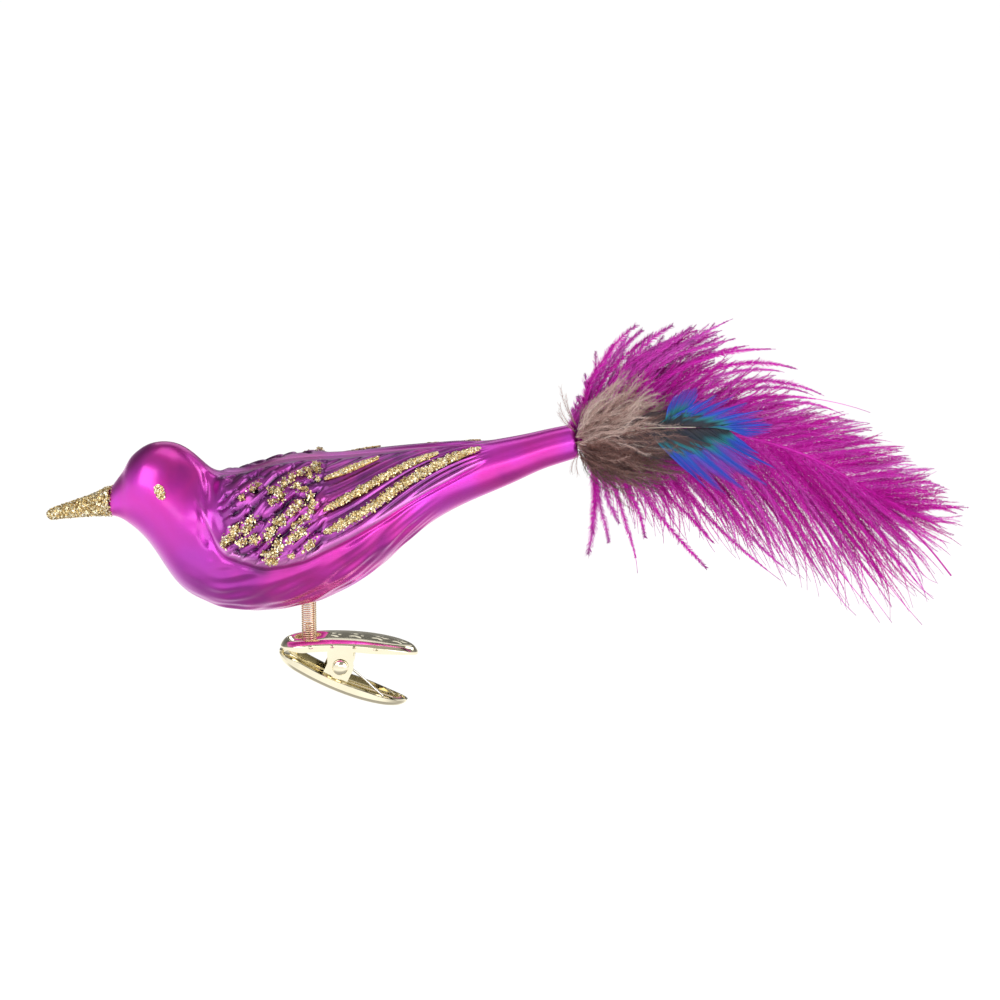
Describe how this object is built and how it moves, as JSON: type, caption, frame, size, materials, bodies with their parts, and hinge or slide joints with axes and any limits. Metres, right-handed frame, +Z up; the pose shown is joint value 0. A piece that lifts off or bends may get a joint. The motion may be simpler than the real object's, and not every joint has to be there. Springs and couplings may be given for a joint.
{
  "type": "clip-on bird ornament",
  "caption": "Blown glass bird with a feather tail, standing on a flexible spring leg over a pressed tin spring clip that grips a twig.",
  "frame": {"origin": "between the noses of the clip's jaws, where they grip a twig", "axes": "+X along the bird towards the tail, +Y across it to the bird's left, +Z up along the spring leg"},
  "size_m": [0.1791, 0.0324, 0.0766],
  "materials": {
    "lacquered_glass": "satin",
    "gold_glitter": "satin",
    "gold_tin": "gloss",
    "copper_wire": "satin",
    "steel_wire": "satin",
    "clear_glue": "satin",
    "magenta_plume": "matte",
    "plume_quill": "satin",
    "grey_down": "matte",
    "blue_feather": "satin"
  },
  "bodies": {
    "clip_upper": {"clip_upper_jaw": "gold_tin", "pivot_rivet": "gold_tin", "jaw_spring": "steel_wire"},
    "clip_lower": {"clip_lower_jaw": "gold_tin"},
    "leg_post": {"spring_post": "gold_tin"},
    "leg": {"leg_spring": "copper_wire"},
    "bird": {"accent_down": "grey_down", "accent_lower_vane": "blue_feather", "accent_quill": "grey_down", "accent_upper_vane": "blue_feather", "beak_glitter_coat": "gold_glitter", "belly_glue_plug": "clear_glue", "eye_glitter_left": "gold_glitter", "eye_glitter_right": "gold_glitter", "glass_body": "lacquered_glass", "glitter_dab_front_left": "gold_glitter", "glitter_dab_front_right": "gold_glitter", "glitter_dab_low_left": "gold_glitter", "glitter_dab_low_right": "gold_glitter", "glitter_dab_middle_left": "gold_glitter", "glitter_dab_middle_right": "gold_glitter", "glitter_dab_rear_left": "gold_glitter", "glitter_dab_rear_right": "gold_glitter", "glitter_dab_top_left": "gold_glitter", "glitter_dab_top_right": "gold_glitter", "long_plume_lower_vane": "magenta_plume", "long_plume_quill": "plume_quill", "long_plume_upper_vane": "magenta_plume", "short_plume_left_vane": "magenta_plume", "short_plume_quill": "plume_quill", "short_plume_right_vane": "magenta_plume", "tail_glue_plug": "clear_glue", "wing_stripe_lower_left": "gold_glitter", "wing_stripe_lower_right": "gold_glitter", "wing_stripe_middle_left": "gold_glitter", "wing_stripe_middle_right": "gold_glitter", "wing_stripe_upper_left": "gold_glitter", "wing_stripe_upper_right": "gold_glitter"}
  },
  "joints": [
    {"name": "jaw_pivot", "type": "hinge", "parent": "clip_upper", "child": "clip_lower", "pos_m": [0.0113, 0, -0.00245], "axis": [0, -1, 0], "range_deg": [0, 34], "stiffness_Nm_per_rad": 0.02, "springref_deg": -34.38, "deforming": ["jaw_spring"]},
    {"name": "leg_swivel", "type": "hinge", "parent": "clip_upper", "child": "leg_post", "pos_m": [0.005, 0, 0.0015], "axis": [0, 0, 1], "continuous": true},
    {"name": "leg_pitch", "type": "hinge", "parent": "leg_post", "child": "leg", "pos_m": [0.005, 0, 0.0042], "axis": [0, 1, 0], "range_deg": [-12, 12], "stiffness_Nm_per_rad": 0.3, "deforming": ["leg_spring"]},
    {"name": "leg_roll", "type": "hinge", "parent": "leg", "child": "bird", "pos_m": [0.005, 0, 0.0076], "axis": [1, 0, 0], "range_deg": [-12, 12], "stiffness_Nm_per_rad": 0.3, "deforming": ["leg_spring"]}
  ]
}
